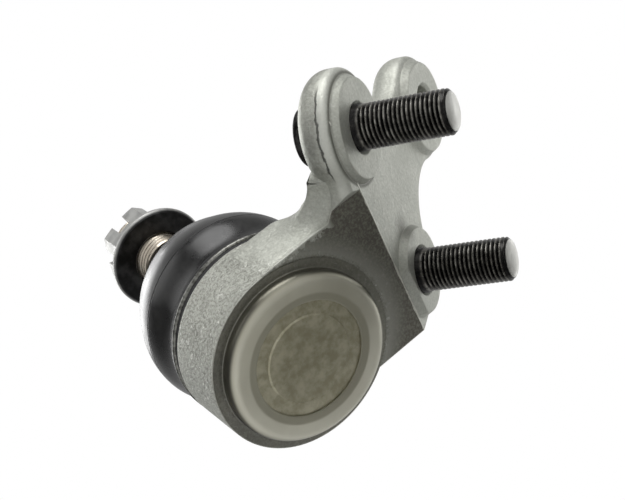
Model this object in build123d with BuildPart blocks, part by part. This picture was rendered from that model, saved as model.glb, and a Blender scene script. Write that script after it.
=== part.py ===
from build123d import *
from math import acos, asin, cos, degrees, hypot, radians, sin, sqrt
import os

# Lower suspension ball joint, in millimetres.
# The origin is the centre of the ball. +Z runs up the ball stud to its nut, +X runs from the
# second mounting stud to the first, and +Y runs from the ball towards the mounting plate.

# Ball, bearing seats, preload washer and end cap
ball_diameter = 27.0
ball_flat_diameter = 8.0
bearing_gap = 0.05
bore_diameter = 33.0
seat_fit_gap = 0.02
seat_split = 0.6
seat_cone_length = 5.0
seat_cone_top_diameter = 27.8
lower_seat_hole_diameter = 10.0
lower_seat_floor = 0.7
washer_height = 1.7
washer_thickness = 0.8
washer_inner_diameter = 15.0
washer_outer_diameter = 32.2
cap_diameter = 34.4
cap_thickness = 3.2
cap_fit_gap = 0.03
cap_pad_diameter = 24.9
cap_pad_step = 0.4

# Housing, turned about the ball stud's axis
housing_diameter = 53.5
housing_edge_round = 1.2
collar_diameter = 47.5
collar_height = 4.2
collar_round = 2.6
lip_thickness = 0.9
lip_opening_diameter = 32.2
lip_crest_diameter = 36.6
lip_dish = 0.45
shoulder_height = 3.0
register_diameter = 46.0
register_height = 5.0
register_groove_depth = 0.6
register_groove_width = 2.2
register_groove_rise = 2.9
mouth_diameter = 25.6
mouth_step_gap = 0.1
mouth_land = 1.4
mouth_flare = 1.0

# Mounting plate: its angle to the housing, and the three fixings on it
plate_angle = 39.0
stud_line_x = 17.0
stud_line_y = 43.8
stud_line_z = -10.6
stud_spacing = 49.0
bolt_hole_height = 43.5
plate_thickness = 10.2
pad_height = 2.0
first_ear_radius = 16.4
second_ear_radius = 13.9
bolt_ear_radius = 15.2
first_pad_radius = 14.4
second_pad_radius = 12.9
bolt_pad_radius = 13.9
pad_draft = 30.0
ear_front_round = 2.2
ear_back_round = 6.0
first_bay_radius = 16.0
second_bay_radius = 16.2
neck_fillet_radius = 9.0
neck_first_side_x = 27.6
neck_second_side_x = -19.4
neck_inset = 1.6
neck_run = 60.0
neck_rise = 60.0
neck_shoulder_y = 16.0
neck_shoulder_z = 1.5
neck_shoulder_round = 5.0
neck_valley_y = 22.2
neck_valley_z = -6.5
neck_valley_round = 3.5
neck_back_height = -9.7
neck_back_round = 8.0
neck_first_rim_round = 3.0
neck_second_rim_round = 1.5
neck_ledge_x = 30.0
bolt_hole_diameter = 12.5
bolt_hole_chamfer = 0.8
stud_hole_chamfer = 0.9

# Press-in mounting studs
stud_thread_diameter = 12.0
stud_shank_diameter = 12.4
stud_shank_proud = 1.0
stud_reach = 25.5
stud_end_chamfer = 1.0
stud_head_diameter = 16.0
stud_head_thickness = 3.9
stud_head_round = 1.0
knurl_diameter = 12.7
knurl_depth = 0.2
knurl_teeth = 24
knurl_start = 2.0
stud_hole_diameter = 12.5

# Ball stud above the ball
neck_diameter = 14.0
neck_length = 15.0
neck_round = 2.0
land_diameter = 20.0
land_start = 34.0
land_end = 43.0
taper_large_diameter = 19.6
taper_length = 13.0
taper_ratio = 8.0
relief_diameter = 13.8
relief_width = 1.6
stud_end = 81.5
ball_thread_diameter = 16.0
thread_chamfer = 1.0
cotter_hole_diameter = 3.5
centre_drill_diameter = 3.0

# Slotted nut
nut_face_height = 64.0
nut_height = 15.5
nut_across_flats = 22.0
nut_corner_slope = 60.0
flange_diameter = 30.8
flange_face_diameter = 29.2
flange_edge_height = 1.2
flange_rim = 1.9
flange_cone_height = 2.2
nut_thread_gap = 0.05
nut_mouth_chamfer = 0.7
slot_width = 4.5
slot_depth = 5.5
slot_angle = -15.0

# Dust boot and its two rings
boot_gap = 0.15
boot_lip_diameter = 52.6
boot_lip_cover = 0.2
boot_bead_gap = 0.15
boot_waist_diameter = 50.4
boot_waist_rise = 1.2
boot_wall = 2.2
boot_bulge_diameter = 54.8
boot_bulge_height = 19.0
boot_crown_diameter = 50.2
boot_crown_height = 28.0
boot_crown_slope = 25.0
boot_shoulder_diameter = 42.0
boot_shoulder_height = 36.0
boot_shoulder_slope = 42.0
boot_edge_diameter = 31.0
boot_edge_height = 40.0
boot_edge_slope = 66.0
boot_neck_diameter = 26.6
boot_neck_gap = 0.1
boot_neck_foot = 40.6
boot_neck_top = 42.6
ring_wire_diameter = 1.6
ring_gap_angle = 8.0
ring_gap_direction = 150.0
ring_inset = 0.3
neck_ring_wire_diameter = 1.2
neck_ring_inset = 0.2
neck_ring_drop = 1.1

ball_radius = ball_diameter / 2
housing_radius = housing_diameter / 2
collar_radius = collar_diameter / 2
register_radius = register_diameter / 2
bore_radius = bore_diameter / 2
lip_face = -(ball_radius + lower_seat_floor + washer_height + cap_thickness + lip_thickness)
cap_face = lip_face + lip_thickness
cap_back = cap_face + cap_thickness
seat_floor = cap_back + washer_height
underside = lip_face + collar_height
seat_top = seat_split / 2 + seat_cone_length
mouth_bottom = seat_top + mouth_step_gap
housing_top = shoulder_height + register_height
register_groove_height = shoulder_height + register_groove_rise
plate_plane = Plane(
    origin=(stud_line_x, stud_line_y, stud_line_z),
    x_dir=(1, 0, 0),
    z_dir=(0, -sin(radians(plate_angle)), cos(radians(plate_angle))),
)
web_face = pad_height
plate_back = pad_height + plate_thickness
first_stud = (stud_spacing / 2, 0)
second_stud = (-stud_spacing / 2, 0)
bolt_hole = (0, bolt_hole_height)


def tangent_centre(first, first_radius, second, second_radius, radius, side):
    """Centre of the circle of this radius that touches two other circles from outside."""
    dx, dy = second[0] - first[0], second[1] - first[1]
    span = hypot(dx, dy)
    reach_first, reach_second = first_radius + radius, second_radius + radius
    along = (span**2 + reach_first**2 - reach_second**2) / (2 * span)
    away = side * sqrt(reach_first**2 - along**2)
    return (
        first[0] + (along * dx - away * dy) / span,
        first[1] + (along * dy + away * dx) / span,
    )


def on_plate(height, depth):
    """Y and Z of a point this far up the plate and this deep behind its pads."""
    point = plate_plane.from_local_coords((0, height, depth))
    return (point.Y, point.Z)


def boot_point(radius, height, slope, depth):
    """A point of the boot's section this deep below its outer face."""
    turn = radians(slope)
    return (radius - depth * cos(turn), height - depth * sin(turn))


def knurl_point(index):
    """Crests and roots, by turns, of the serrations round a mounting stud's shank."""
    radius = knurl_diameter / 2 - (index % 2) * knurl_depth
    turn = radians(180 * index / knurl_teeth)
    return (radius * cos(turn), radius * sin(turn))


def on_neck_rim(edge, side_x):
    """Whether an edge of the neck runs along its back on this side."""
    middle = edge.position_at(0.5)
    beside = abs(middle.X - side_x) < neck_inset and edge.length < neck_shoulder_y
    behind = plate_plane.to_local_coords(middle).Z > plate_back - pad_height
    return beside and behind and middle.Z > cap_back + pad_height and middle.Y > pad_height


def save(part, name):
    """Label a finished piece and write it as one STEP file."""
    part.label = name
    export_step(part, f"parts/{name}.step")


os.makedirs("parts", exist_ok=True)

# Angles on the ball and its socket
socket_radius = ball_radius + bearing_gap
split_angle = degrees(asin(seat_split / 2 / socket_radius))
lower_seat_reach = degrees(acos(lower_seat_hole_diameter / 2 / socket_radius))
upper_seat_reach = degrees(asin(seat_top / socket_radius))
ball_flat_angle = degrees(acos(ball_flat_diameter / 2 / ball_radius))
neck_angle = degrees(acos(neck_diameter / 2 / ball_radius))
neck_root = sqrt(ball_radius**2 - (neck_diameter / 2) ** 2)

# Levels along the ball stud and its nut
taper_end = land_end + taper_length
taper_small_radius = (taper_large_diameter - taper_length / taper_ratio) / 2
nut_top = nut_face_height + nut_height
hole_cone_depth = stud_hole_chamfer
cotter_direction = (cos(radians(slot_angle)), sin(radians(slot_angle)), 0)
cotter_plane = Plane(origin=(0, 0, nut_top - slot_depth / 2), z_dir=cotter_direction)

# The boot's lip and its ring follow the housing's register, and its neck ring the boot's neck
boot_lip_top = housing_top + boot_lip_cover
boot_waist_height = boot_lip_top + boot_waist_rise
ring_diameter = boot_lip_diameter - 2 * ring_inset
ring_height = register_groove_height
neck_ring_diameter = boot_neck_diameter - 2 * neck_ring_inset
neck_ring_height = boot_neck_top - neck_ring_drop

# Stations of the boot's wall: radius, height and how far its outer face has turned upwards
boot_stations = (
    (boot_waist_diameter / 2, boot_waist_height, 0.0),
    (boot_bulge_diameter / 2, boot_bulge_height, 0.0),
    (boot_crown_diameter / 2, boot_crown_height, boot_crown_slope),
    (boot_shoulder_diameter / 2, boot_shoulder_height, boot_shoulder_slope),
    (boot_edge_diameter / 2, boot_edge_height, boot_edge_slope),
)
ring_start = radians(ring_gap_direction + ring_gap_angle / 2)
ring_plane = Plane(
    origin=(0, 0, 0),
    x_dir=(cos(ring_start), sin(ring_start), 0),
    z_dir=(sin(ring_start), -cos(ring_start), 0),
)

# The bays between the ears are circles that touch both ears. The plate's lower corner runs
# into the neck with a fillet that touches the first ear and the neck's side.
first_bay = tangent_centre(
    first_stud, first_ear_radius, bolt_hole, bolt_ear_radius, first_bay_radius, -1
)
second_bay = tangent_centre(
    second_stud, second_ear_radius, bolt_hole, bolt_ear_radius, second_bay_radius, 1
)
neck_side = neck_first_side_x - stud_line_x
far_side = neck_second_side_x - stud_line_x
fillet_x = neck_side + neck_fillet_radius
fillet_drop = sqrt(
    (first_ear_radius + neck_fillet_radius) ** 2 - (first_stud[0] - fillet_x) ** 2
)
plate_foot = -fillet_drop
fold_drop = stud_line_z + web_face * cos(radians(plate_angle)) - underside
fold_height = -fold_drop / sin(radians(plate_angle))
ears = (
    (first_stud, first_ear_radius, first_pad_radius),
    (second_stud, second_ear_radius, second_pad_radius),
    (bolt_hole, bolt_ear_radius, bolt_pad_radius),
)
bays = (
    (first_bay, first_bay_radius),
    (second_bay, second_bay_radius),
    ((fillet_x, plate_foot), neck_fillet_radius),
)

neck_bends = (
    ((neck_valley_y, neck_valley_z), neck_valley_round),
    ((neck_shoulder_y, neck_shoulder_z), neck_shoulder_round),
    (on_plate(neck_back_height, plate_back), neck_back_round),
)
neck_rims = (
    (neck_first_side_x, neck_first_rim_round),
    (neck_second_side_x, neck_second_rim_round),
)

# Neck between the housing and the plate: its sides stand square to the plate, and its back
# runs down the plate, through a valley and up to the housing's shoulder
with BuildPart() as neck:
    with BuildSketch(plate_plane):
        with BuildLine():
            Polyline(
                (far_side, 0),
                (far_side - neck_inset, -neck_run),
                (neck_side - neck_inset, -neck_run),
                (neck_side, plate_foot),
                (neck_side, 0),
                close=True,
            )
        make_face()
    extrude(amount=neck_rise)
    with BuildSketch(Plane.YZ) as side_view:
        with BuildLine():
            Polyline(
                (0, underside),
                on_plate(fold_height, web_face),
                on_plate(0, web_face),
                on_plate(0, plate_back),
                on_plate(neck_back_height, plate_back),
                (neck_valley_y, neck_valley_z),
                (neck_shoulder_y, neck_shoulder_z),
                (0, neck_shoulder_z),
                close=True,
            )
        make_face()
        for corner, radius in neck_bends:
            fillet(side_view.vertices().sort_by_distance(corner)[0], radius)
    extrude(amount=housing_diameter, both=True, mode=Mode.INTERSECT)
    for side_x, radius in neck_rims:
        rim_edges = neck.edges().filter_by(lambda edge: on_neck_rim(edge, side_x))
        fillet(rim_edges, radius)

# Bracket forging: a plate with three ears, the neck and the housing in one piece
with BuildPart() as bracket:
    with BuildSketch(plate_plane.offset(web_face)):
        for centre, ear_radius, pad_radius in ears:
            with Locations(centre):
                Circle(ear_radius)
        with BuildLine():
            Polyline(
                first_stud,
                first_bay,
                bolt_hole,
                second_bay,
                second_stud,
                (far_side, 0),
                (far_side, plate_foot),
                (neck_side, plate_foot),
                (fillet_x, plate_foot),
                close=True,
            )
        make_face()
        for centre, radius in bays:
            with Locations(centre):
                Circle(radius, mode=Mode.SUBTRACT)
    extrude(amount=plate_thickness)
    through_plate = Axis(plate_plane.origin, plate_plane.z_dir)
    fillet(bracket.faces().sort_by(through_plate)[0].edges(), ear_front_round)
    fillet(bracket.faces().sort_by(through_plate)[-1].edges(), ear_back_round)
    for centre, ear_radius, pad_radius in ears:
        with BuildSketch(plate_plane.offset(web_face + ear_front_round)):
            with Locations(centre):
                Circle(pad_radius)
        extrude(amount=-ear_front_round)
        with BuildSketch(plate_plane.offset(web_face)):
            with Locations(centre):
                Circle(pad_radius)
        extrude(amount=-pad_height, taper=pad_draft)
    add(neck.part)
    with BuildSketch(Plane.XZ):
        with BuildLine():
            Polyline(
                (-housing_diameter, underside),
                (neck_ledge_x, underside),
                (neck_ledge_x + plate_thickness, underside - plate_thickness),
                (-housing_diameter, underside - plate_thickness),
                close=True,
            )
        make_face()
    extrude(amount=2 * housing_diameter, both=True, mode=Mode.SUBTRACT)
    with BuildSketch(Plane.XZ) as turned:
        with BuildLine():
            Polyline(
                (0, lip_face + lip_dish),
                (lip_opening_diameter / 2, lip_face + lip_dish),
                (lip_crest_diameter / 2, lip_face),
                (collar_radius, lip_face),
                (collar_radius, underside),
                (housing_radius, underside),
                (housing_radius, shoulder_height),
                (register_radius, shoulder_height),
                (register_radius, housing_top),
                (0, housing_top),
                close=True,
            )
        make_face()
        corners = turned.vertices()
        fillet(corners.sort_by_distance((collar_radius, lip_face))[0], collar_round)
        fillet(corners.sort_by_distance((housing_radius, underside))[0], housing_edge_round)
        with Locations((register_radius, register_groove_height)):
            Rectangle(2 * register_groove_depth, register_groove_width, mode=Mode.SUBTRACT)
    revolve(axis=Axis.Z)
    with BuildSketch(Plane.XZ):
        with BuildLine():
            Polyline(
                (0, lip_face),
                (lip_opening_diameter / 2, lip_face),
                (lip_opening_diameter / 2, cap_face),
                (cap_diameter / 2 + cap_fit_gap, cap_face),
                (cap_diameter / 2 + cap_fit_gap, cap_back),
                (bore_radius, cap_back),
                (bore_radius, seat_split / 2),
                (seat_cone_top_diameter / 2, seat_top),
                (seat_cone_top_diameter / 2, mouth_bottom),
                (mouth_diameter / 2, mouth_bottom),
                (mouth_diameter / 2, mouth_bottom + mouth_land),
                (mouth_diameter / 2 + mouth_flare, housing_top),
                (0, housing_top),
                close=True,
            )
        make_face()
    revolve(axis=Axis.Z, mode=Mode.SUBTRACT)
    with BuildSketch(plate_plane):
        with Locations(first_stud, second_stud):
            Circle(stud_hole_diameter / 2)
        with Locations(bolt_hole):
            Circle(bolt_hole_diameter / 2)
    extrude(amount=plate_back, mode=Mode.SUBTRACT)
    with BuildSketch(plate_plane):
        with Locations(first_stud, second_stud):
            Circle(stud_hole_diameter / 2 + stud_hole_chamfer)
        with Locations(bolt_hole):
            Circle(bolt_hole_diameter / 2 + bolt_hole_chamfer)
    extrude(amount=hole_cone_depth, taper=45, mode=Mode.SUBTRACT)
    with BuildSketch(plate_plane.offset(plate_back)):
        with Locations(bolt_hole):
            Circle(bolt_hole_diameter / 2 + bolt_hole_chamfer)
    extrude(amount=-bolt_hole_chamfer, taper=45, mode=Mode.SUBTRACT)
save(bracket.part, "bracket_forging")

# End cap, pressed into the housing's recess and held by the lip rolled over it
with BuildPart() as end_cap:
    with BuildSketch(Plane.XZ):
        with BuildLine():
            Polyline(
                (0, cap_face - cap_pad_step),
                (cap_pad_diameter / 2 - cap_pad_step, cap_face - cap_pad_step),
                (cap_pad_diameter / 2, cap_face),
                (cap_diameter / 2, cap_face),
                (cap_diameter / 2, cap_back),
                (cap_pad_diameter / 2, cap_back),
                (cap_pad_diameter / 2 - cap_pad_step, cap_back - cap_pad_step),
                (0, cap_back - cap_pad_step),
                close=True,
            )
        make_face()
    revolve(axis=Axis.Z)
save(end_cap.part, "end_cap")

# Coned spring washer that presses the lower seat up against the ball
with BuildPart() as preload_washer:
    with BuildSketch(Plane.XZ):
        with BuildLine():
            Polyline(
                (washer_outer_diameter / 2, cap_back),
                (washer_outer_diameter / 2, cap_back + washer_thickness),
                (washer_inner_diameter / 2, seat_floor),
                (washer_inner_diameter / 2, seat_floor - washer_thickness),
                close=True,
            )
        make_face()
    revolve(axis=Axis.Z)
save(preload_washer.part, "preload_washer")

# Lower bearing seat: a cup under the ball, open at the bottom
with BuildPart() as lower_seat:
    with BuildSketch(Plane.XZ):
        with BuildLine():
            lower_face = CenterArc((0, 0), socket_radius, -lower_seat_reach, lower_seat_reach - split_angle)
            Polyline(
                lower_face @ 1,
                (bore_radius - seat_fit_gap, -seat_split / 2),
                (bore_radius - seat_fit_gap, seat_floor),
                (lower_seat_hole_diameter / 2, seat_floor),
                lower_face @ 0,
            )
        make_face()
    revolve(axis=Axis.Z)
save(lower_seat.part, "lower_seat")

# Upper bearing seat: a ring over the ball, wedged in the housing's cone
with BuildPart() as upper_seat:
    with BuildSketch(Plane.XZ):
        with BuildLine():
            upper_face = CenterArc((0, 0), socket_radius, split_angle, upper_seat_reach - split_angle)
            Polyline(
                upper_face @ 1,
                (seat_cone_top_diameter / 2 - seat_fit_gap, seat_top),
                (bore_radius - seat_fit_gap, seat_split / 2),
                upper_face @ 0,
            )
        make_face()
    revolve(axis=Axis.Z)
save(upper_seat.part, "upper_seat")

# Ball stud: ball, neck, boot land, taper for the knuckle, and the threaded end
with BuildPart() as ball_stud:
    with BuildSketch(Plane.XZ) as stud_half:
        with BuildLine():
            ball_face = CenterArc((0, 0), ball_radius, -ball_flat_angle, ball_flat_angle + neck_angle)
            Polyline(
                ball_face @ 1,
                (neck_diameter / 2, neck_length),
                (land_diameter / 2, land_start),
                (land_diameter / 2, land_end),
                (taper_large_diameter / 2, land_end),
                (taper_small_radius, taper_end),
                (relief_diameter / 2, taper_end),
                (relief_diameter / 2, taper_end + relief_width),
                (ball_thread_diameter / 2 - thread_chamfer, taper_end + relief_width),
                (ball_thread_diameter / 2, taper_end + relief_width + thread_chamfer),
                (ball_thread_diameter / 2, stud_end - thread_chamfer),
                (ball_thread_diameter / 2 - thread_chamfer, stud_end),
                (centre_drill_diameter / 2, stud_end),
                (0, stud_end - centre_drill_diameter),
                (0, ball_face.position_at(0).Y),
                ball_face @ 0,
            )
        make_face()
        fillet(stud_half.vertices().sort_by_distance((neck_diameter / 2, neck_root))[0], neck_round)
    revolve(axis=Axis.Z)
    with BuildSketch(cotter_plane):
        Circle(cotter_hole_diameter / 2)
    extrude(amount=ball_thread_diameter, both=True, mode=Mode.SUBTRACT)
save(ball_stud.part, "ball_stud")

# Slotted nut with a coned flange, run onto the ball stud's thread
with BuildPart() as castle_nut:
    with BuildSketch(Plane.XZ):
        with BuildLine():
            Polyline(
                (0, nut_face_height),
                (flange_face_diameter / 2, nut_face_height),
                (flange_diameter / 2, nut_face_height + flange_edge_height),
                (flange_diameter / 2, nut_face_height + flange_rim),
                (nut_across_flats / 2, nut_face_height + flange_rim + flange_cone_height),
                (0, nut_face_height + flange_rim + flange_cone_height),
                close=True,
            )
        make_face()
    revolve(axis=Axis.Z)
    with BuildPart(mode=Mode.PRIVATE) as hexagon:
        with BuildSketch(Plane.XY.offset(nut_face_height)):
            RegularPolygon(nut_across_flats / 2, 6, major_radius=False, rotation=slot_angle + 30)
        extrude(amount=nut_height)
        with BuildSketch(Plane.XY.offset(nut_top)):
            Circle(nut_across_flats / 2)
        extrude(amount=-nut_height, taper=-nut_corner_slope, mode=Mode.INTERSECT)
    add(hexagon.part)
    with BuildSketch(Plane.XY.offset(nut_top)):
        with PolarLocations(0, 3, start_angle=slot_angle):
            Rectangle(flange_diameter, slot_width)
    extrude(amount=-slot_depth, mode=Mode.SUBTRACT)
    with BuildSketch(Plane.XY.offset(nut_face_height)):
        Circle(ball_thread_diameter / 2 + nut_thread_gap)
    extrude(amount=nut_height, mode=Mode.SUBTRACT)
    with BuildSketch(Plane.XY.offset(nut_face_height)):
        Circle(ball_thread_diameter / 2 + nut_mouth_chamfer)
    extrude(amount=nut_mouth_chamfer - nut_thread_gap, taper=45, mode=Mode.SUBTRACT)
save(castle_nut.part, "castle_nut")

# Rubber dust boot: a thick lip round the housing, a bulge and a narrow neck on the ball stud
with BuildPart() as dust_boot:
    with BuildSketch(Plane.XZ):
        with BuildLine():
            outside = Spline(*[boot_point(*station, 0) for station in boot_stations])
            inside = Spline(*[boot_point(*station, boot_wall) for station in boot_stations])
            Polyline(
                outside @ 1,
                (boot_neck_diameter / 2, boot_neck_foot),
                (boot_neck_diameter / 2, boot_neck_top),
                (land_diameter / 2 + boot_neck_gap, boot_neck_top),
                (land_diameter / 2 + boot_neck_gap, inside.position_at(1).Y),
                inside @ 1,
            )
            Polyline(
                outside @ 0,
                (boot_lip_diameter / 2, boot_lip_top),
                (boot_lip_diameter / 2, shoulder_height),
                (register_radius + boot_gap, shoulder_height),
                (register_radius + boot_gap, housing_top + boot_gap),
                inside @ 0,
            )
        make_face()
        with Locations((register_radius + boot_gap, register_groove_height)):
            Rectangle(
                2 * (register_groove_depth - boot_bead_gap),
                register_groove_width - 2 * boot_bead_gap,
            )
        with Locations((ring_diameter / 2, ring_height)):
            Circle(ring_wire_diameter / 2 + boot_gap, mode=Mode.SUBTRACT)
        with Locations((neck_ring_diameter / 2, neck_ring_height)):
            Circle(neck_ring_wire_diameter / 2 + boot_gap, mode=Mode.SUBTRACT)
    revolve(axis=Axis.Z)
save(dust_boot.part, "dust_boot")

# Split wire ring round the boot's lip
with BuildPart() as boot_ring:
    with BuildSketch(ring_plane):
        with Locations((ring_diameter / 2, ring_height)):
            Circle(ring_wire_diameter / 2)
    revolve(axis=Axis.Z, revolution_arc=360 - ring_gap_angle)
save(boot_ring.part, "boot_ring")

# Split wire ring round the boot's neck
with BuildPart() as boot_neck_ring:
    with BuildSketch(ring_plane):
        with Locations((neck_ring_diameter / 2, neck_ring_height)):
            Circle(neck_ring_wire_diameter / 2)
    revolve(axis=Axis.Z, revolution_arc=360 - ring_gap_angle)
save(boot_neck_ring.part, "boot_neck_ring")

# Two mounting studs, pressed in from the plate's back: head, serrated shank, threaded end
for number, centre in ((1, first_stud), (2, second_stud)):
    section = Plane(
        origin=plate_plane.from_local_coords((*centre, 0)),
        x_dir=plate_plane.x_dir,
        z_dir=plate_plane.x_dir.cross(plate_plane.z_dir),
    )
    shank = Plane(
        origin=plate_plane.from_local_coords((*centre, knurl_start)),
        x_dir=plate_plane.x_dir,
        z_dir=plate_plane.z_dir,
    )
    with BuildPart() as mounting_stud:
        with BuildSketch(section) as stud_outline:
            with BuildLine():
                Polyline(
                    (0, -stud_reach),
                    (stud_thread_diameter / 2 - stud_end_chamfer, -stud_reach),
                    (stud_thread_diameter / 2, stud_end_chamfer - stud_reach),
                    (stud_thread_diameter / 2, -stud_shank_proud),
                    (stud_shank_diameter / 2, -stud_shank_proud),
                    (stud_shank_diameter / 2, plate_back),
                    (stud_head_diameter / 2, plate_back),
                    (stud_head_diameter / 2, plate_back + stud_head_thickness),
                    (0, plate_back + stud_head_thickness),
                    close=True,
                )
            make_face()
            rim = (stud_head_diameter / 2, plate_back + stud_head_thickness)
            fillet(stud_outline.vertices().sort_by_distance(rim)[0], stud_head_round)
        revolve(axis=Axis(section.origin, plate_plane.z_dir))
        with BuildSketch(shank):
            with BuildLine():
                Polyline(*[knurl_point(index) for index in range(2 * knurl_teeth)], close=True)
            make_face()
        extrude(amount=plate_back - knurl_start)
    save(mounting_stud.part, f"mounting_stud_{number}")
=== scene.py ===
import bpy
from math import cos, pi, radians, sin
from mathutils import Matrix, Vector


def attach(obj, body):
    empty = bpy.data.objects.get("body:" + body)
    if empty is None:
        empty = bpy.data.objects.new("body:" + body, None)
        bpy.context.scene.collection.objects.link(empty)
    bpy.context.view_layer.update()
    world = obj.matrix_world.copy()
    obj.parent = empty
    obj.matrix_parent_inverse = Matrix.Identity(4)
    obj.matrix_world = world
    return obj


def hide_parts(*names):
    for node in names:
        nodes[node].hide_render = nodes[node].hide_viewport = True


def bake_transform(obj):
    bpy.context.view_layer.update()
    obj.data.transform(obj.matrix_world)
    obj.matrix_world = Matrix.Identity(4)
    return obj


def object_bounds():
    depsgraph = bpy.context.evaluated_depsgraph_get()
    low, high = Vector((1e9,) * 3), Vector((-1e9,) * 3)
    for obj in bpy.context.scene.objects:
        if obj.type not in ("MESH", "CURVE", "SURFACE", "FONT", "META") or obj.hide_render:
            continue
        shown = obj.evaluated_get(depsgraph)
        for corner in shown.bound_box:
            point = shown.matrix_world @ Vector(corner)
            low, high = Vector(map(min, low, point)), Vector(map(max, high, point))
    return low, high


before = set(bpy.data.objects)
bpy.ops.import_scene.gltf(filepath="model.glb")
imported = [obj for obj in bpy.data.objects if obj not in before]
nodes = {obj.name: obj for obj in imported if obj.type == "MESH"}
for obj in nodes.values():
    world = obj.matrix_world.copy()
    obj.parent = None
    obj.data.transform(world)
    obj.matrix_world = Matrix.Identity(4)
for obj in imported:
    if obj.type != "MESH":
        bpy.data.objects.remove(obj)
cad_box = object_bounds()
bpy.ops.object.select_all(action="DESELECT")

# Camera: a long lens looking up at the joint's underside, so that the end cap, the neck and the
# mounting face all show, and the ball stud points away to the upper left.
camera_place = (0.23608, -0.09788, -0.32279)
camera_turn = (radians(158.817), radians(32.3793), radians(116.0382))
lens_mm = 88.1754
sensor_mm = 36.0
bpy.ops.object.camera_add(location=camera_place, rotation=camera_turn)
camera = bpy.context.object
camera.data.sensor_fit = "HORIZONTAL"
camera.data.sensor_width = sensor_mm
camera.data.lens = lens_mm
camera.data.clip_start = 0.01
bpy.context.scene.camera = camera
bpy.context.scene.view_settings.view_transform = "Standard"


# Studio: a white room lit by wide soft boxes above, beside and behind the joint, and a pale
# floor just under it. The floor is seen from above only, so it never hides the underside.
class Paint:
    """A socket in a material, on which arithmetic adds Math nodes."""

    def __init__(self, tree, socket=None):
        self.tree = tree
        self.socket = socket

    def add(self, kind, sockets=None, out=0, **settings):
        """Adds a node: its settings first, then the values or links of its sockets."""
        node = self.tree.nodes.new(kind)
        for name, value in settings.items():
            setattr(node, name, value)
        for key, value in (sockets or {}).items():
            if isinstance(value, Paint):
                self.tree.links.new(value.socket, node.inputs[key])
            else:
                node.inputs[key].default_value = value
        return Paint(self.tree, node.outputs[out] if node.outputs else None)

    def math(self, operation, first, second=None):
        """A Math node on one or two values."""
        values = [value for value in (first, second) if value is not None]
        return self.add("ShaderNodeMath", dict(enumerate(values)), operation=operation)

    def __add__(self, other):
        return self.math("ADD", self, other)

    __radd__ = __add__

    def __sub__(self, other):
        return self.math("SUBTRACT", self, other)

    def __rsub__(self, other):
        return self.math("SUBTRACT", other, self)

    def __mul__(self, other):
        return self.math("MULTIPLY", self, other)

    __rmul__ = __mul__

    def __pow__(self, other):
        return self.math("POWER", self, other)

    def dot(self, other):
        """How far this vector reaches along another."""
        return self.add("ShaderNodeVectorMath", {0: self, 1: other}, out="Value", operation="DOT_PRODUCT")

    def split(self):
        """This vector's three parts."""
        return [self.add("ShaderNodeSeparateXYZ", {0: self}, out=part) for part in range(3)]

    def span(self, low, high, start=0.0, end=1.0):
        """This value's way from low to high, smoothed, as a value from start to end."""
        return self.add(
            "ShaderNodeMapRange",
            {"Value": self, "From Min": low, "From Max": high, "To Min": start, "To Max": end},
            interpolation_type="SMOOTHSTEP",
        )


def blend_colours(factor, first, second):
    """One colour fading into another by a factor."""
    return factor.add(
        "ShaderNodeMix",
        {"Factor": factor, 6: first if isinstance(first, Paint) else (*first, 1.0),
         7: second if isinstance(second, Paint) else (*second, 1.0)},
        out=2,
        data_type="RGBA",
    )


camera_distance = 0.41
photographer = tuple(value / camera_distance for value in camera_place)
white = (1.0, 1.0, 1.0, 1.0)
room_white = 1.0
room_edge = 0.62
room_dark = 0.10
room_fill = 0.33
edge_facing, dark_facing = -0.80, -0.05
world = bpy.data.worlds.new("studio_room")
bpy.context.scene.world = world
world.use_nodes = True
world.node_tree.nodes.clear()
room = Paint(world.node_tree)
outlook = room.add("ShaderNodeTexCoord", out="Generated")
gloss_level = outlook.dot(photographer).span(edge_facing, dark_facing, room_edge, room_dark)
seen = room.add("ShaderNodeLightPath", out="Is Camera Ray")
through = room.add("ShaderNodeLightPath", out="Is Transmission Ray")
glossy = room.add("ShaderNodeLightPath", out="Is Glossy Ray")
straight = room.math("MAXIMUM", seen, through)
level = straight * room_white + (1 - straight) * (glossy * gloss_level + (1 - glossy) * room_fill)
air = room.add("ShaderNodeBackground", {"Color": white, "Strength": level})
room.add("ShaderNodeOutputWorld", {"Surface": air})

middle = Vector((0.012, 0.03, 0.02))
soft_boxes = (
    ("top", (0.88, 0.35, 0.32), 0.62, 0.46, 2.3),
    ("behind", (0.60, -0.50, 0.62), 0.62, 0.46, 0.75),
    ("right", (-0.52, 0.80, 0.24), 0.62, 0.36, 0.45),
    ("front", (0.75, 0.05, -0.70), 0.80, 0.30, 1.1),
    ("overhead", (-0.20, -0.25, 0.95), 0.70, 0.45, 1.6),
)
for name, direction, distance, size, power in soft_boxes:
    place = middle + Vector(direction).normalized() * distance
    bpy.ops.object.light_add(type="AREA", location=place)
    lamp = bpy.context.object
    lamp.name = "soft_box_" + name
    lamp.rotation_euler = (middle - place).to_track_quat("-Z", "Y").to_euler()
    lamp.data.shape = "DISK"
    lamp.data.size = size
    lamp.data.energy = power

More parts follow.
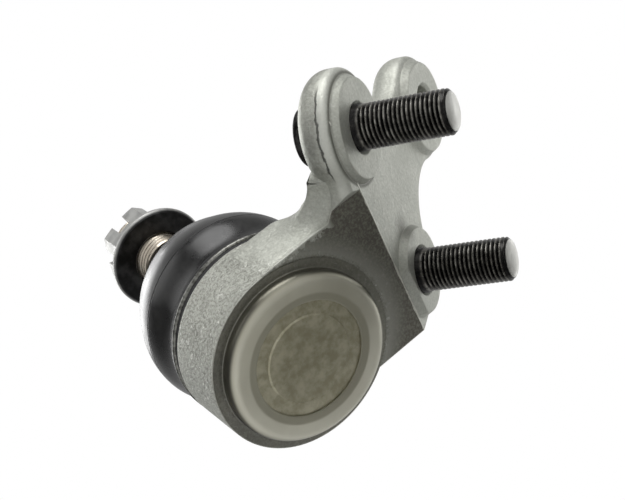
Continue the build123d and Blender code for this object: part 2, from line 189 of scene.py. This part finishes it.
floor_side = 3.0
floor_gap = 0.0005
floor_colour = (0.86, 0.86, 0.86, 1.0)
bpy.ops.mesh.primitive_grid_add(
    x_subdivisions=8, y_subdivisions=8, size=floor_side,
    location=(middle.x, middle.y, cad_box[0][2] - floor_gap),
)
floor = bpy.context.object
floor.name = "studio_floor"
sheet = bpy.data.materials.new("studio_floor")
sheet.use_nodes = True
sheet.node_tree.nodes.clear()
paper = Paint(sheet.node_tree)
matt = paper.add("ShaderNodeBsdfDiffuse", {"Color": floor_colour})
clear = paper.add("ShaderNodeBsdfTransparent", {"Color": white})
behind = paper.add("ShaderNodeNewGeometry", out="Backfacing")
one_way = paper.add("ShaderNodeMixShader", {0: behind, 1: matt, 2: clear})
paper.add("ShaderNodeOutputMaterial", {"Surface": one_way})
floor.data.materials.append(sheet)


# Bracket: one steel forging, blasted after trimming, with its housing turned round the ball
# stud's axis. Its neck flares into the first ear, and the flare is modelled here, over the neck.
def new_material(name):
    """A new material, a Paint to add its nodes with, and the place on the object."""
    material = bpy.data.materials.new(name)
    material.use_nodes = True
    material.node_tree.nodes.clear()
    paint = Paint(material.node_tree)
    return material, paint, paint.add("ShaderNodeTexCoord", out="Object")


def finish_material(paint, sockets):
    """Adds the Principled shader with these values and links, and the output."""
    shader = paint.add("ShaderNodeBsdfPrincipled", sockets)
    paint.add("ShaderNodeOutputMaterial", {"Surface": shader})


def noise(paint, place, scale, detail, roughness, distortion=0.0):
    """Uneven grain, finer with a larger scale."""
    return paint.add(
        "ShaderNodeTexNoise",
        {"Vector": place, "Scale": scale, "Detail": detail, "Roughness": roughness, "Distortion": distortion},
    )


def dress(node, material):
    """Puts a material in every slot of a CAD node."""
    for slot in nodes[node].material_slots:
        slot.material = material


def drawn_outline(name, points):
    """A closed outline, drawn point by point from a single vertex, with a face across it."""
    bpy.ops.object.select_all(action="DESELECT")
    bpy.ops.mesh.primitive_plane_add(size=0.001)
    outline = bpy.context.object
    outline.name = name
    bpy.ops.object.mode_set(mode="EDIT")
    bpy.ops.mesh.select_mode(type="VERT")
    bpy.ops.mesh.merge(type="CENTER")
    bpy.ops.transform.translate(value=points[0])
    for here, there in zip(points, points[1:]):
        bpy.ops.mesh.extrude_region_move(TRANSFORM_OT_translate={"value": there - here})
    bpy.ops.mesh.select_all(action="SELECT")
    bpy.ops.mesh.edge_face_add()
    bpy.ops.mesh.select_all(action="SELECT")
    return outline


def prism(name, points, depth):
    """A solid between an outline and its copy at some depth."""
    solid = drawn_outline(name, points)
    bpy.ops.mesh.extrude_region_move(TRANSFORM_OT_translate={"value": depth})
    bpy.ops.mesh.select_all(action="SELECT")
    bpy.ops.mesh.normals_make_consistent(inside=False)
    bpy.ops.object.mode_set(mode="OBJECT")
    bpy.ops.object.transform_apply(location=True, rotation=True, scale=True)
    return solid


def cut_by(piece, tool, operation):
    """Cuts a piece by a tool, or keeps what the two share, and removes the tool."""
    bpy.ops.object.select_all(action="DESELECT")
    piece.select_set(True)
    bpy.context.view_layer.objects.active = piece
    cut = piece.modifiers.new("cut", "BOOLEAN")
    cut.operation = operation
    cut.solver = "EXACT"
    cut.object = tool
    bpy.ops.object.modifier_apply(modifier=cut.name)
    bpy.data.objects.remove(tool)


def arc(centre, radius, first, last, steps):
    """Points of an arc between two angles, in degrees."""
    angles = [radians(first + (last - first) * step / steps) for step in range(steps + 1)]
    return [(centre[0] + radius * cos(a), centre[1] + radius * sin(a)) for a in angles]


plate_tilt = radians(39.0)
plate_out = Vector((0.0, sin(plate_tilt), -cos(plate_tilt)))
plate_up = Vector((0.0, cos(plate_tilt), sin(plate_tilt)))
stud_line = Vector((0.017, 0.0438, -0.0106))
half_spacing = 0.0245


def on_plate(x, up, depth):
    """A place given in millimetres across, up and into the plate."""
    return stud_line + Vector((x / 1000, 0, 0)) + plate_up * (up / 1000) - plate_out * (depth / 1000)


# The flare's outlines are in millimetres. Its plan runs down the neck's side and round the fillet
# to the first ear. Small gaps keep its faces off the forging's own.
plate_back = 12.2
neck_side = 10.66
fillet_foot = -24.92
fillet_radius = 9.1
flare_radius = 13.7
inside_plate = -2.0
well_clear = 60.0
far_clear = 70.0
skin_gap = 0.05
cutter_gap = 0.02
flare_plan = [(inside_plate, -well_clear), (neck_side, -well_clear)]
flare_plan += arc((neck_side + fillet_radius, fillet_foot), fillet_radius, 180, 79, 16)
flare_plan += [(half_spacing * 1000, 0), (inside_plate, 0)]
neck_outline = [on_plate(x, up, 0) for x, up in flare_plan]
neck = prism("neck_flare", neck_outline, -plate_out * (well_clear / 1000))

# Its side view runs along the underside, up the plate, through the valley and over the shoulder.
flare_start = 14.9
past_axis = -9.0
neck_underside = -15.8 + skin_gap
neck_back = 1.5
along_plate = [(34.1, neck_underside), (42.4, -9.0), (36.7, -1.9), (30.4, -7.0)]
valley = [(29.6, -7.35), (28.6, -7.5), (27.4, -7.5), (26.1, -7.4), (24.2, -7.15), (23.1, -6.85)]
valley += [(22.3, -6.25), (21.7, -5.6)]
shoulder = [(18.0, -1.05), (17.0, 0.1), (15.8, 0.95), (14.4, 1.4), (13.2, neck_back)]
profile = [(past_axis, neck_underside)] + along_plate + valley + shoulder + [(past_axis, neck_back)]
side_outline = [Vector((flare_start / 1000, y / 1000, z / 1000)) for y, z in profile]
side_view = prism("side_view", side_outline, Vector((well_clear / 1000, 0, 0)))
cut_by(neck, side_view, "INTERSECT")

# Behind the plate it is hollowed by the flare's radius.
open_side = neck_side + cutter_gap
beyond = arc((open_side + flare_radius, plate_back + flare_radius), flare_radius, 180, 270, 20)
beyond += [(well_clear, plate_back), (well_clear, far_clear), (open_side, far_clear)]
behind_outline = [on_plate(x, -well_clear, depth) for x, depth in beyond]
behind_plate = prism("behind_plate", behind_outline, plate_up * (2 * well_clear / 1000))
cut_by(neck, behind_plate, "DIFFERENCE")

# Beside the housing it runs in to the neck's own side.
past_ear = 45.0
run_in = [(flare_start, -8.1), (25.5, -8.1), (27.25, -0.1), (27.74, 8.0), (past_ear, 8.0)]
run_in += [(past_ear, well_clear), (flare_start, well_clear)]
run_in_outline = [Vector((x / 1000, y / 1000, -well_clear / 2000)) for x, y in run_in]
housing_side = prism("housing_side", run_in_outline, Vector((0, 0, well_clear / 1000)))
cut_by(neck, housing_side, "INTERSECT")

# Its rims are rounded where they stand free of the housing and the plate.
rim_from, rim_to = 0.0262, 0.0300
rim_foot = -0.0145
rim_round = 0.0017
housing_meets = 0.012
bpy.ops.object.mode_set(mode="EDIT")
bpy.ops.mesh.select_mode(type="EDGE")
bpy.ops.mesh.select_all(action="DESELECT")
bpy.ops.mesh.edges_select_sharp(sharpness=radians(30))
bpy.ops.object.mode_set(mode="OBJECT")
for rim in neck.data.edges:
    first, second = (neck.data.vertices[v].co for v in rim.vertices)
    centre = (first + second) / 2
    upright = abs(first.z - second.z) > 0.8 * (first - second).length and centre.y < housing_meets
    free = rim_from < centre.x < rim_to and centre.y > 0 and centre.z > rim_foot
    rim.select = rim.select and free and not upright
bpy.ops.object.mode_set(mode="EDIT")
bpy.ops.mesh.bevel(offset=rim_round, segments=5, affect="EDGES")
bpy.ops.object.mode_set(mode="OBJECT")
bpy.ops.object.shade_smooth_by_angle(angle=radians(35))

# The finish: places on the forging first, in metres, then its marks, painted light and shade among them, then
# their colours.
forged, paint, place = new_material("blasted_forging")
grain = noise(paint, place, 1500.0, 3.0, 0.6)
pits = noise(paint, place, 620.0, 2.0, 0.5)
clouds = noise(paint, place, 45.0, 4.0, 0.6)
spots = noise(paint, place, 260.0, 4.0, 0.65)
wrinkles = noise(paint, place, 560.0, 3.0, 0.62, 1.4)
x, y, z = place.split()
radius = (x * x + y * y) ** 0.5
across = x - stud_line.x
depth = (z - stud_line.z) * plate_up.y - (y - stud_line.y) * plate_up.z
height = (y - stud_line.y) * plate_up.y + (z - stud_line.z) * plate_up.z
ear = ((across - half_spacing) ** 2 + height * height) ** 0.5
outer_ear = ear.span(0.0145, 0.0155) * x.span(0.036, 0.040)
on_housing = radius.span(0.0282, 0.0270)
turned_edge, turned_foot, turned_blur = 0.0265, -0.0157, 0.0003
turned = radius.span(turned_edge + turned_blur, turned_edge - turned_blur)
turned = turned * z.span(turned_foot + turned_blur, turned_foot - turned_blur)

# Edges are painted lighter, both as wear and as painted highlight where they catch the light.
edge_normal = paint.add("ShaderNodeBevel", {"Radius": 0.0007}, samples=6)
face_normal = paint.add("ShaderNodeNewGeometry", out="Normal")
edge_wear_and_highlight = ((1 - edge_normal.dot(face_normal)) * 4 + (grain - 0.5) * 0.9).span(0.10, 0.50)
# Painted highlight: a thin bright line along the fold where the underside turns up into the plate, also
# raised a little in the bump.
fold_y, fold_z = 0.0342, -0.0158
fold = ((y - fold_y) ** 2 + (z - fold_z) ** 2) ** 0.5
fold_ridge_highlight = (fold + (spots - 0.5) * 0.0012).span(0.00042, 0.00010)
# Painted shade (kept in scale): downward faces under the neck are darker, less so near the housing, not on
# turned faces or the lit side past the ragged trimmed edge.
facing_down = face_normal.split()[2].span(-0.90, -0.97)
ragged = x + (pits - 0.5) * 0.0050 + (grain - 0.5) * 0.0016
unshaded_trimmed_edge = ragged.span(0.0261, 0.0265) * y.span(0.0240, 0.0215)
scale = facing_down * z.span(-0.0150, -0.0156) * z.span(-0.0176, -0.0166) * y.span(0.0346, 0.0341)
scale = scale * (1 - turned) * (1 - unshaded_trimmed_edge)
scale = scale * (radius + (clouds - 0.5) * 0.006).span(0.0255, 0.0345, 0.42, 1.0)
crack_depth = 0.0050
crack = paint.math("ABSOLUTE", depth - crack_depth + (spots - 0.5) * 0.0022)
crack = crack.span(0.00042, 0.00010) * outer_ear * height.span(-0.002, -0.008)
stains = depth.span(0.0042, 0.0066) * outer_ear * spots.span(0.66, 0.42, 0.35, 1.0)
# Painted highlight: a band of the ear's side, where it turns to the light, painted lighter.
lit_side_highlight = depth.span(0.0018, 0.0030) * depth.span(0.0056, 0.0044)
lit_side_highlight = lit_side_highlight * ear.span(0.0150, 0.0158) * x.span(0.030, 0.034)
pad_edge = 0.0148
foot_shade = paint.math("ABSOLUTE", ear - pad_edge).span(0.0009, 0.0001)
foot_shade = foot_shade * depth.span(0.0026, 0.0020) * depth.span(0.0010, 0.0017)
hollow_across, hollow_up = -0.0110, 0.0015
hollow_shade = ((across - hollow_across) ** 2 + (height - hollow_up) ** 2) ** 0.5
hollow_shade = hollow_shade.span(0.0062, 0.0005) * depth.span(0.0030, 0.0022)

tone = clouds.span(0.30, 0.72)
sand = grain.span(0.38, 0.66)
# Painted glints: white specks in the colour, strongest on the housing.
glint = paint.math("MAXIMUM", pits.span(0.66, 0.74), wrinkles.span(0.60, 0.72))
grey_steel, pale_steel = (0.43, 0.44, 0.395), (0.52, 0.53, 0.48)
sand_grey, wrinkle_grey, glint_white = (0.27, 0.27, 0.24), (0.20, 0.20, 0.175), (0.80, 0.80, 0.76)
underside_shade_dark, underside_shade_light = (0.13, 0.125, 0.105), (0.21, 0.205, 0.175)
stain_grey, shade_grey, crack_black = (0.17, 0.17, 0.15), (0.14, 0.14, 0.12), (0.04, 0.04, 0.035)
wear_and_highlight_steel, lit_side_steel = (0.66, 0.66, 0.60), (0.62, 0.63, 0.58)
light_skin = blend_colours(tone, grey_steel, pale_steel)
sanded_with_glints = blend_colours(sand * (0.35 + on_housing * 0.45), light_skin, sand_grey)
sanded_with_glints = blend_colours(wrinkles.span(0.44, 0.34) * on_housing * 0.6, sanded_with_glints, wrinkle_grey)
sanded_with_glints = blend_colours(glint * (0.20 + on_housing * 0.50), sanded_with_glints, glint_white)
# The underside's painted shade, in darker and lighter grains.
skin = blend_colours(scale, sanded_with_glints, blend_colours(sand, underside_shade_dark, underside_shade_light))
skin = blend_colours(stains * 0.45, skin, stain_grey)
skin = blend_colours(paint.math("MAXIMUM", foot_shade * 1.3, hollow_shade) * 0.65, skin, shade_grey)
skin = blend_colours(paint.math("MAXIMUM", edge_wear_and_highlight * 0.45, fold_ridge_highlight * 0.9), skin, wear_and_highlight_steel)
skin = blend_colours(lit_side_highlight * 0.7, skin, lit_side_steel)
skin = blend_colours(crack * 0.8, skin, crack_black)

lip_grey, crest_highlight_grey = (0.44, 0.43, 0.35), (0.62, 0.61, 0.52)
collar_shade_black, oil_brown = (0.055, 0.053, 0.045), (0.34, 0.32, 0.25)
# Painted highlight: the rolled lip's rounded crest painted brighter.
lip_crest_highlight = radius.span(0.0178, 0.0188) * radius.span(0.0232, 0.0220)
# Painted shade: the collar's outer wall painted near black, darker still towards one side.
collar_shade_by_side = 0.75 + (x * -0.35 - y * 0.94).span(0.006, 0.022, 0.0, 0.22)
machined = blend_colours(lip_crest_highlight, lip_grey, crest_highlight_grey)
machined = blend_colours(radius.span(0.0228, 0.0236) * collar_shade_by_side, machined, collar_shade_black)
machined = blend_colours(tone * 0.25, machined, oil_brown)
relief = grain * 0.5 + pits * 0.9 + wrinkles * on_housing * 1.6
relief = (relief + stains * 0.8 - crack * 3 + fold_ridge_highlight * 1.5) * (1 - turned)
bump = paint.add(
    "ShaderNodeBump", {"Strength": 0.7, "Distance": 0.00025, "Height": relief, "Normal": edge_normal},
)
finish_material(paint, {
    "Base Color": blend_colours(turned, skin, machined),
    "Metallic": 0.85,
    "Roughness": turned.span(0.0, 1.0, 0.52, 0.30) + grain * 0.08,
    "Normal": bump,
})
dress("bracket_forging", forged)
neck.data.materials.append(forged)
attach(neck, "bracket")

# End cap: a pressed steel disc with a raised middle, dull and a little oily. It closes the
# housing from below, and the lip rolled over its edge holds it.
cap_plate, paint, place = new_material("pressed_cap")
mottle = noise(paint, place, 260.0, 5.0, 0.62)
stain = noise(paint, place, 70.0, 3.0, 0.5)
oily_plate, dry_plate = (0.35, 0.33, 0.235), (0.52, 0.50, 0.385)
finish_material(paint, {
    "Base Color": blend_colours(mottle.span(0.35, 0.68), oily_plate, dry_plate),
    "Metallic": 0.8,
    "Roughness": stain.span(0.3, 0.7, 0.38, 0.52),
    "Normal": paint.add("ShaderNodeBump", {"Strength": 0.3, "Distance": 0.0002, "Height": mottle + stain}),
})
dress("end_cap", cap_plate)

# Preload washer: a cone of blued spring steel, between the cap and the lower seat. It is pressed
# flatter as the lip is rolled, and takes up wear.
spring_steel, paint, place = new_material("blued_spring_steel")
temper = noise(paint, place, 120.0, 3.0, 0.5)
blued, bare = (0.10, 0.11, 0.15), (0.20, 0.19, 0.20)
finish_material(paint, {
    "Base Color": blend_colours(temper.span(0.3, 0.7), blued, bare),
    "Metallic": 0.9,
    "Roughness": temper.span(0.3, 0.7, 0.32, 0.45),
})
dress("preload_washer", spring_steel)

# Bearing seats: two moulded plastic rings with a film of grease, one under the ball and one
# wedged over it in the housing's cone.
bearing_plastic, paint, place = new_material("greased_bearing_plastic")
film = noise(paint, place, 90.0, 3.0, 0.5)
clean_plastic, greased_plastic = (0.80, 0.78, 0.70), (0.70, 0.64, 0.48)
finish_material(paint, {
    "Base Color": blend_colours(film.span(0.35, 0.7), clean_plastic, greased_plastic),
    "Roughness": film.span(0.3, 0.7, 0.30, 0.55),
})
dress("lower_seat", bearing_plastic)
dress("upper_seat", bearing_plastic)


# Mounting studs: two M12 studs with a rolled thread, black phosphate and oil, pressed into the
# plate from behind. Their end faces are bright, where they were cut off after blacking.
def copy_of(node, name):
    """A CAD solid's copy with its loose triangles joined, ready to be worked on."""
    piece = bpy.data.objects.new(name, nodes[node].data.copy())
    bpy.context.collection.objects.link(piece)
    piece.data.materials.clear()
    bpy.ops.object.select_all(action="DESELECT")
    piece.select_set(True)
    bpy.context.view_layer.objects.active = piece
    bpy.ops.object.mode_set(mode="EDIT")
    bpy.ops.mesh.select_all(action="SELECT")
    bpy.ops.mesh.remove_doubles(threshold=1e-6)
    bpy.ops.object.mode_set(mode="OBJECT")
    return piece


def cut_thread(piece, foot, direction, length, crest_radius, pitch):
    """Cuts a right-hand V thread into a shank that runs from its foot along a direction."""
    groove_size = 0.56 * pitch
    groove_place = (crest_radius - 0.16 * pitch, 0, 0)
    steps_a_turn = 48
    bpy.ops.object.select_all(action="DESELECT")
    bpy.ops.mesh.primitive_circle_add(
        vertices=3, radius=groove_size, location=groove_place, rotation=(pi / 2, -pi / 2, 0),
    )
    groove = bpy.context.object
    bpy.ops.object.transform_apply(location=True, rotation=True, scale=True)
    winding = groove.modifiers.new("winding", "SCREW")
    winding.axis = "Z"
    winding.screw_offset = pitch
    winding.iterations = round(length / pitch)
    winding.steps = winding.render_steps = steps_a_turn
    bpy.ops.object.modifier_apply(modifier=winding.name)
    bpy.ops.object.mode_set(mode="EDIT")
    bpy.ops.mesh.select_all(action="SELECT")
    bpy.ops.mesh.remove_doubles(threshold=1e-7)
    bpy.ops.mesh.fill_holes(sides=3)
    bpy.ops.mesh.select_all(action="SELECT")
    bpy.ops.mesh.normals_make_consistent(inside=False)
    bpy.ops.object.mode_set(mode="OBJECT")
    turn = Vector((0, 0, 1)).rotation_difference(direction).to_matrix().to_4x4()
    groove.matrix_world = Matrix.Translation(foot) @ turn
    bpy.context.view_layer.update()
    cut_by(piece, groove, "DIFFERENCE")
    bpy.ops.object.shade_smooth_by_angle(angle=radians(28))


stud_thread_radius = 0.006
stud_thread_pitch = 0.00125
stud_thread_foot = 0.0018
stud_thread_end = 0.0255
thread_run_out = 0.0013
stud_thread_length = stud_thread_end - stud_thread_foot + thread_run_out
crest_depth = 0.0004
black_dry, black_oily = (0.008, 0.008, 0.008), (0.045, 0.043, 0.040)
crest_glint_dim, crest_glint_bright = (0.10, 0.095, 0.085), (0.34, 0.33, 0.30)
cut_dull, cut_bright = (0.46, 0.46, 0.43), (0.60, 0.60, 0.57)
black_steel, paint, place = new_material("oiled_black_steel")
oil = noise(paint, place, 420.0, 4.0, 0.6)
along = place.dot(tuple(plate_out)) - stud_line.dot(plate_out)
upward = place.dot(tuple(plate_up)) - stud_line.dot(plate_up)
sideways = paint.math("ABSOLUTE", place.split()[0] - stud_line.x) - half_spacing
stud_radius = (sideways * sideways + upward * upward) ** 0.5
# Painted glint: the thread crests painted lighter than the black shank.
thread_crest_glint = stud_radius.span(stud_thread_radius - crest_depth, stud_thread_radius)
thread_crest_glint = thread_crest_glint * along.span(0.0008, 0.0016)
end_face = along.span(stud_thread_end - 0.0002, stud_thread_end - 0.0001)
black = blend_colours(oil.span(0.35, 0.75), black_dry, black_oily)
crest_glint_colour = blend_colours(oil.span(0.40, 0.70), crest_glint_dim, crest_glint_bright)
sheared = blend_colours(oil.span(0.30, 0.70), cut_dull, cut_bright)
finish_material(paint, {
    "Base Color": blend_colours(end_face, blend_colours(thread_crest_glint, black, crest_glint_colour), sheared),
    "Metallic": 0.8,
    "Roughness": oil.span(0.3, 0.7, 0.20, 0.38) + end_face * 0.12,
    "Normal": paint.add("ShaderNodeBump", {"Strength": 0.25, "Distance": 0.0001, "Height": oil}),
})
for number, side in ((1, 1), (2, -1)):
    node = f"mounting_stud_{number}"
    stud = copy_of(node, f"threaded_stud_{number}")
    foot = stud_line + Vector((side * half_spacing, 0, 0)) + plate_out * stud_thread_foot
    cut_thread(stud, foot, plate_out, stud_thread_length, stud_thread_radius, stud_thread_pitch)
    stud.data.materials.append(black_steel)
    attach(stud, "bracket")
    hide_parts(node)

# Ball stud: one steel forging with a ground ball and taper and a rolled thread, under a film of
# oil. The two seats hold its ball, so it swings and spins in the housing.
ball_thread_foot = Vector((0, 0, 0.0568))
ball_thread_length = 0.0262
ball_thread_radius = 0.008
ball_thread_pitch = 0.0015
stud_steel, paint, place = new_material("ground_stud_steel")
x, y, z = place.split()
haze = noise(paint, place, 160.0, 4.0, 0.6)
round_stud = paint.add("ShaderNodeCombineXYZ", {0: z, 1: x * 0.02, 2: y * 0.02})
rings = noise(paint, round_stud, 2600.0, 2.0, 0.5)
oiled_steel, ground_steel = (0.44, 0.39, 0.32), (0.60, 0.55, 0.47)
finish_material(paint, {
    "Base Color": blend_colours(haze.span(0.3, 0.7), oiled_steel, ground_steel),
    "Metallic": 1.0,
    "Roughness": rings.span(0.2, 0.8, 0.20, 0.34),
    "Normal": paint.add("ShaderNodeBump", {"Strength": 0.12, "Distance": 0.0001, "Height": rings}),
})
ball_stud = copy_of("ball_stud", "threaded_ball_stud")
cut_thread(
    ball_stud, ball_thread_foot, Vector((0, 0, 1)), ball_thread_length, ball_thread_radius, ball_thread_pitch,
)
ball_stud.data.materials.append(stud_steel)
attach(ball_stud, "ball_stud")
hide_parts("ball_stud")

# Slotted nut: cold-formed steel with a coned flange, light above and black below the flange face. It runs
# on the ball stud's thread, with six slots cut across its top.
flange_edge, flange_face = 0.0652, 0.0643
light_dull, light_bright = (0.40, 0.40, 0.39), (0.52, 0.52, 0.50)
below_dark, below_less_dark = (0.012, 0.012, 0.012), (0.05, 0.05, 0.05)
nut_steel, paint, place = new_material("formed_nut_steel")
smear = noise(paint, place, 240.0, 4.0, 0.6)
black_below = place.split()[2].span(flange_edge, flange_face)
light = blend_colours(smear.span(0.3, 0.7), light_dull, light_bright)
black = blend_colours(smear.span(0.4, 0.8), below_dark, below_less_dark)
finish_material(paint, {
    "Base Color": blend_colours(black_below, light, black),
    "Metallic": 0.8,
    "Roughness": smear.span(0.3, 0.7, 0.34, 0.48),
    "Normal": paint.add("ShaderNodeBump", {"Strength": 0.15, "Distance": 0.0001, "Height": smear}),
})
dress("castle_nut", nut_steel)

# Rings: bright drawn steel wire, bent round and left open at one place. One presses the boot's
# lip on to the housing, and the other its neck on to the ball stud.
bright_wire, paint, place = new_material("bright_wire")
draw = noise(paint, place, 900.0, 3.0, 0.5)
wire_dark, wire_bright = (0.10, 0.10, 0.09), (0.26, 0.26, 0.24)
finish_material(paint, {
    "Base Color": blend_colours(draw.span(0.3, 0.7), wire_dark, wire_bright),
    "Metallic": 1.0,
    "Roughness": draw.span(0.3, 0.7, 0.26, 0.38),
})
dress("boot_ring", bright_wire)
dress("boot_neck_ring", bright_wire)


# Dust boot: moulded black rubber, glossy with a film of oil, in two shells that meet at the mould
# line round its widest part. The skirt grips the housing, and the crown grips the ball stud, so
# the rubber between them bends as the stud swings.
def smooth_run(stations, steps, inset=0.0):
    """Points of a smooth run through stations of radius, height and inward turn, in millimetres."""
    points = []
    for (radius_1, height_1, turn_1), (radius_2, height_2, turn_2) in zip(stations, stations[1:]):
        reach = ((radius_2 - radius_1) ** 2 + (height_2 - height_1) ** 2) ** 0.5
        leave, arrive = radians(turn_1), radians(turn_2)
        for step in range(1 if points else 0, steps + 1):
            way = step / steps
            near, far = 2 * way**3 - 3 * way**2 + 1, 3 * way**2 - 2 * way**3
            pull_1, pull_2 = reach * (way**3 - 2 * way**2 + way), reach * (way**3 - way**2)
            radius = near * radius_1 + far * radius_2 - pull_1 * sin(leave) - pull_2 * sin(arrive)
            height = near * height_1 + far * height_2 + pull_1 * cos(leave) + pull_2 * cos(arrive)
            turn = leave + (arrive - leave) * far
            points.append((radius - inset * cos(turn), height - inset * sin(turn)))
    return points


def turned_shell(name, section, segments=128):
    """A closed section of radii and heights, in millimetres, drawn point by point and spun."""
    outline = [Vector((radius / 1000, 0, height / 1000)) for radius, height in section]
    shell = drawn_outline(name, outline)
    bpy.ops.mesh.delete(type="ONLY_FACE")
    bpy.ops.mesh.select_all(action="SELECT")
    bpy.ops.mesh.spin(steps=segments, angle=2 * pi, center=(0, 0, 0), axis=(0, 0, 1))
    bpy.ops.mesh.select_all(action="SELECT")
    bpy.ops.mesh.remove_doubles(threshold=2e-6)
    bpy.ops.mesh.select_all(action="SELECT")
    bpy.ops.mesh.normals_make_consistent(inside=False)
    bpy.ops.object.mode_set(mode="OBJECT")
    bpy.ops.object.transform_apply(location=True, rotation=True, scale=True)
    bpy.ops.object.shade_smooth_by_angle(angle=radians(35))
    return shell


wall = 2.2
mould_height = 19.0
mould_groove = 0.14
waist = (25.2, 9.5, 0.0)
widest = (27.35, mould_height, 0.0)
widest_radius = widest[0]
lip_shoulder = (25.9, 8.5, 60.0)
lip_inside, lip_outside, lip_foot, lip_top = 23.15, 26.3, 3.05, 8.15
bead_inside, bead_foot, bead_top = 22.7, 4.95, 6.85
skirt_outside = smooth_run((lip_shoulder, waist, widest), steps=8)
skirt_inside = smooth_run((waist, widest), inset=wall, steps=8)
ring_seat = arc((26.0, 5.9), 0.95, -110, -250, 7)
skirt_section = (
    [(lip_inside, lip_foot), (26.0, lip_foot), (lip_outside, 3.35), (lip_outside, 4.9)]
    + ring_seat
    + [(lip_outside, 6.9), (lip_outside, 7.9)]
    + skirt_outside[:-1]
    + [(widest_radius, mould_height - mould_groove), (widest_radius - mould_groove, mould_height)]
    + [(widest_radius - wall, mould_height)]
    + skirt_inside[::-1][1:]
    + [(lip_inside, lip_top), (lip_inside, bead_top), (bead_inside, bead_top)]
    + [(bead_inside, bead_foot), (lip_inside, bead_foot)]
)
neck_outside, neck_top = 13.3, 42.6
bore_radius, bore_foot = 10.1, 38.6
crown_stations = (widest, (25.1, 28.0, 25.0), (21.0, 35.8, 42.0), (15.6, 39.9, 66.0))
crown_outside = smooth_run(crown_stations, steps=7)
crown_inside = smooth_run(crown_stations, inset=wall, steps=7)
neck_seat = arc((13.1, 41.5), 0.75, -105, -255, 6)
crown_section = (
    [(widest_radius - wall, mould_height), (widest_radius - mould_groove, mould_height)]
    + [(widest_radius, mould_height + mould_groove)]
    + crown_outside[1:]
    + [(15.0, 40.35), (14.4, 40.3), (13.6, 40.55), (neck_outside, 40.75)]
    + neck_seat
    + [(neck_outside, 42.25), (13.0, neck_top), (bore_radius, neck_top), (bore_radius, bore_foot)]
    + crown_inside[::-1][:-1]
)
boot_rubber, paint, place = new_material("moulded_rubber")
bloom = noise(paint, place, 150.0, 4.0, 0.6)
fine = noise(paint, place, 1400.0, 2.0, 0.5)
waves = noise(paint, place, 55.0, 2.0, 0.5)
z = place.split()[2]
mould_line = paint.math("ABSOLUTE", z - mould_height / 1000 + (fine - 0.5) * 0.0003)
mould_line = mould_line.span(0.00032, 0.00012)
lip_zone = z.span(0.0092, 0.0084)
dull = paint.math("MAXIMUM", mould_line, lip_zone)
rubber_black, rubber_bloom = (0.008, 0.008, 0.008), (0.020, 0.020, 0.019)
finish_material(paint, {
    "Base Color": blend_colours(bloom.span(0.4, 0.8), rubber_black, rubber_bloom),
    "Roughness": bloom.span(0.3, 0.7, 0.24, 0.36) * (1 - dull) + dull * 0.60,
    "Normal": paint.add(
        "ShaderNodeBump",
        {"Strength": 0.35, "Distance": 0.0004, "Height": waves + fine * 0.06 - mould_line * 0.6},
    ),
})
skirt = turned_shell("boot_skirt", skirt_section)
skirt.data.materials.append(boot_rubber)
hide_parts("dust_boot")
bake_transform(skirt)

# The crown, from the mould line up to the bore that grips the ball stud.
crown = turned_shell("boot_crown", crown_section)
crown.data.materials.append(boot_rubber)
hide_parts("dust_boot")
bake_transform(crown)
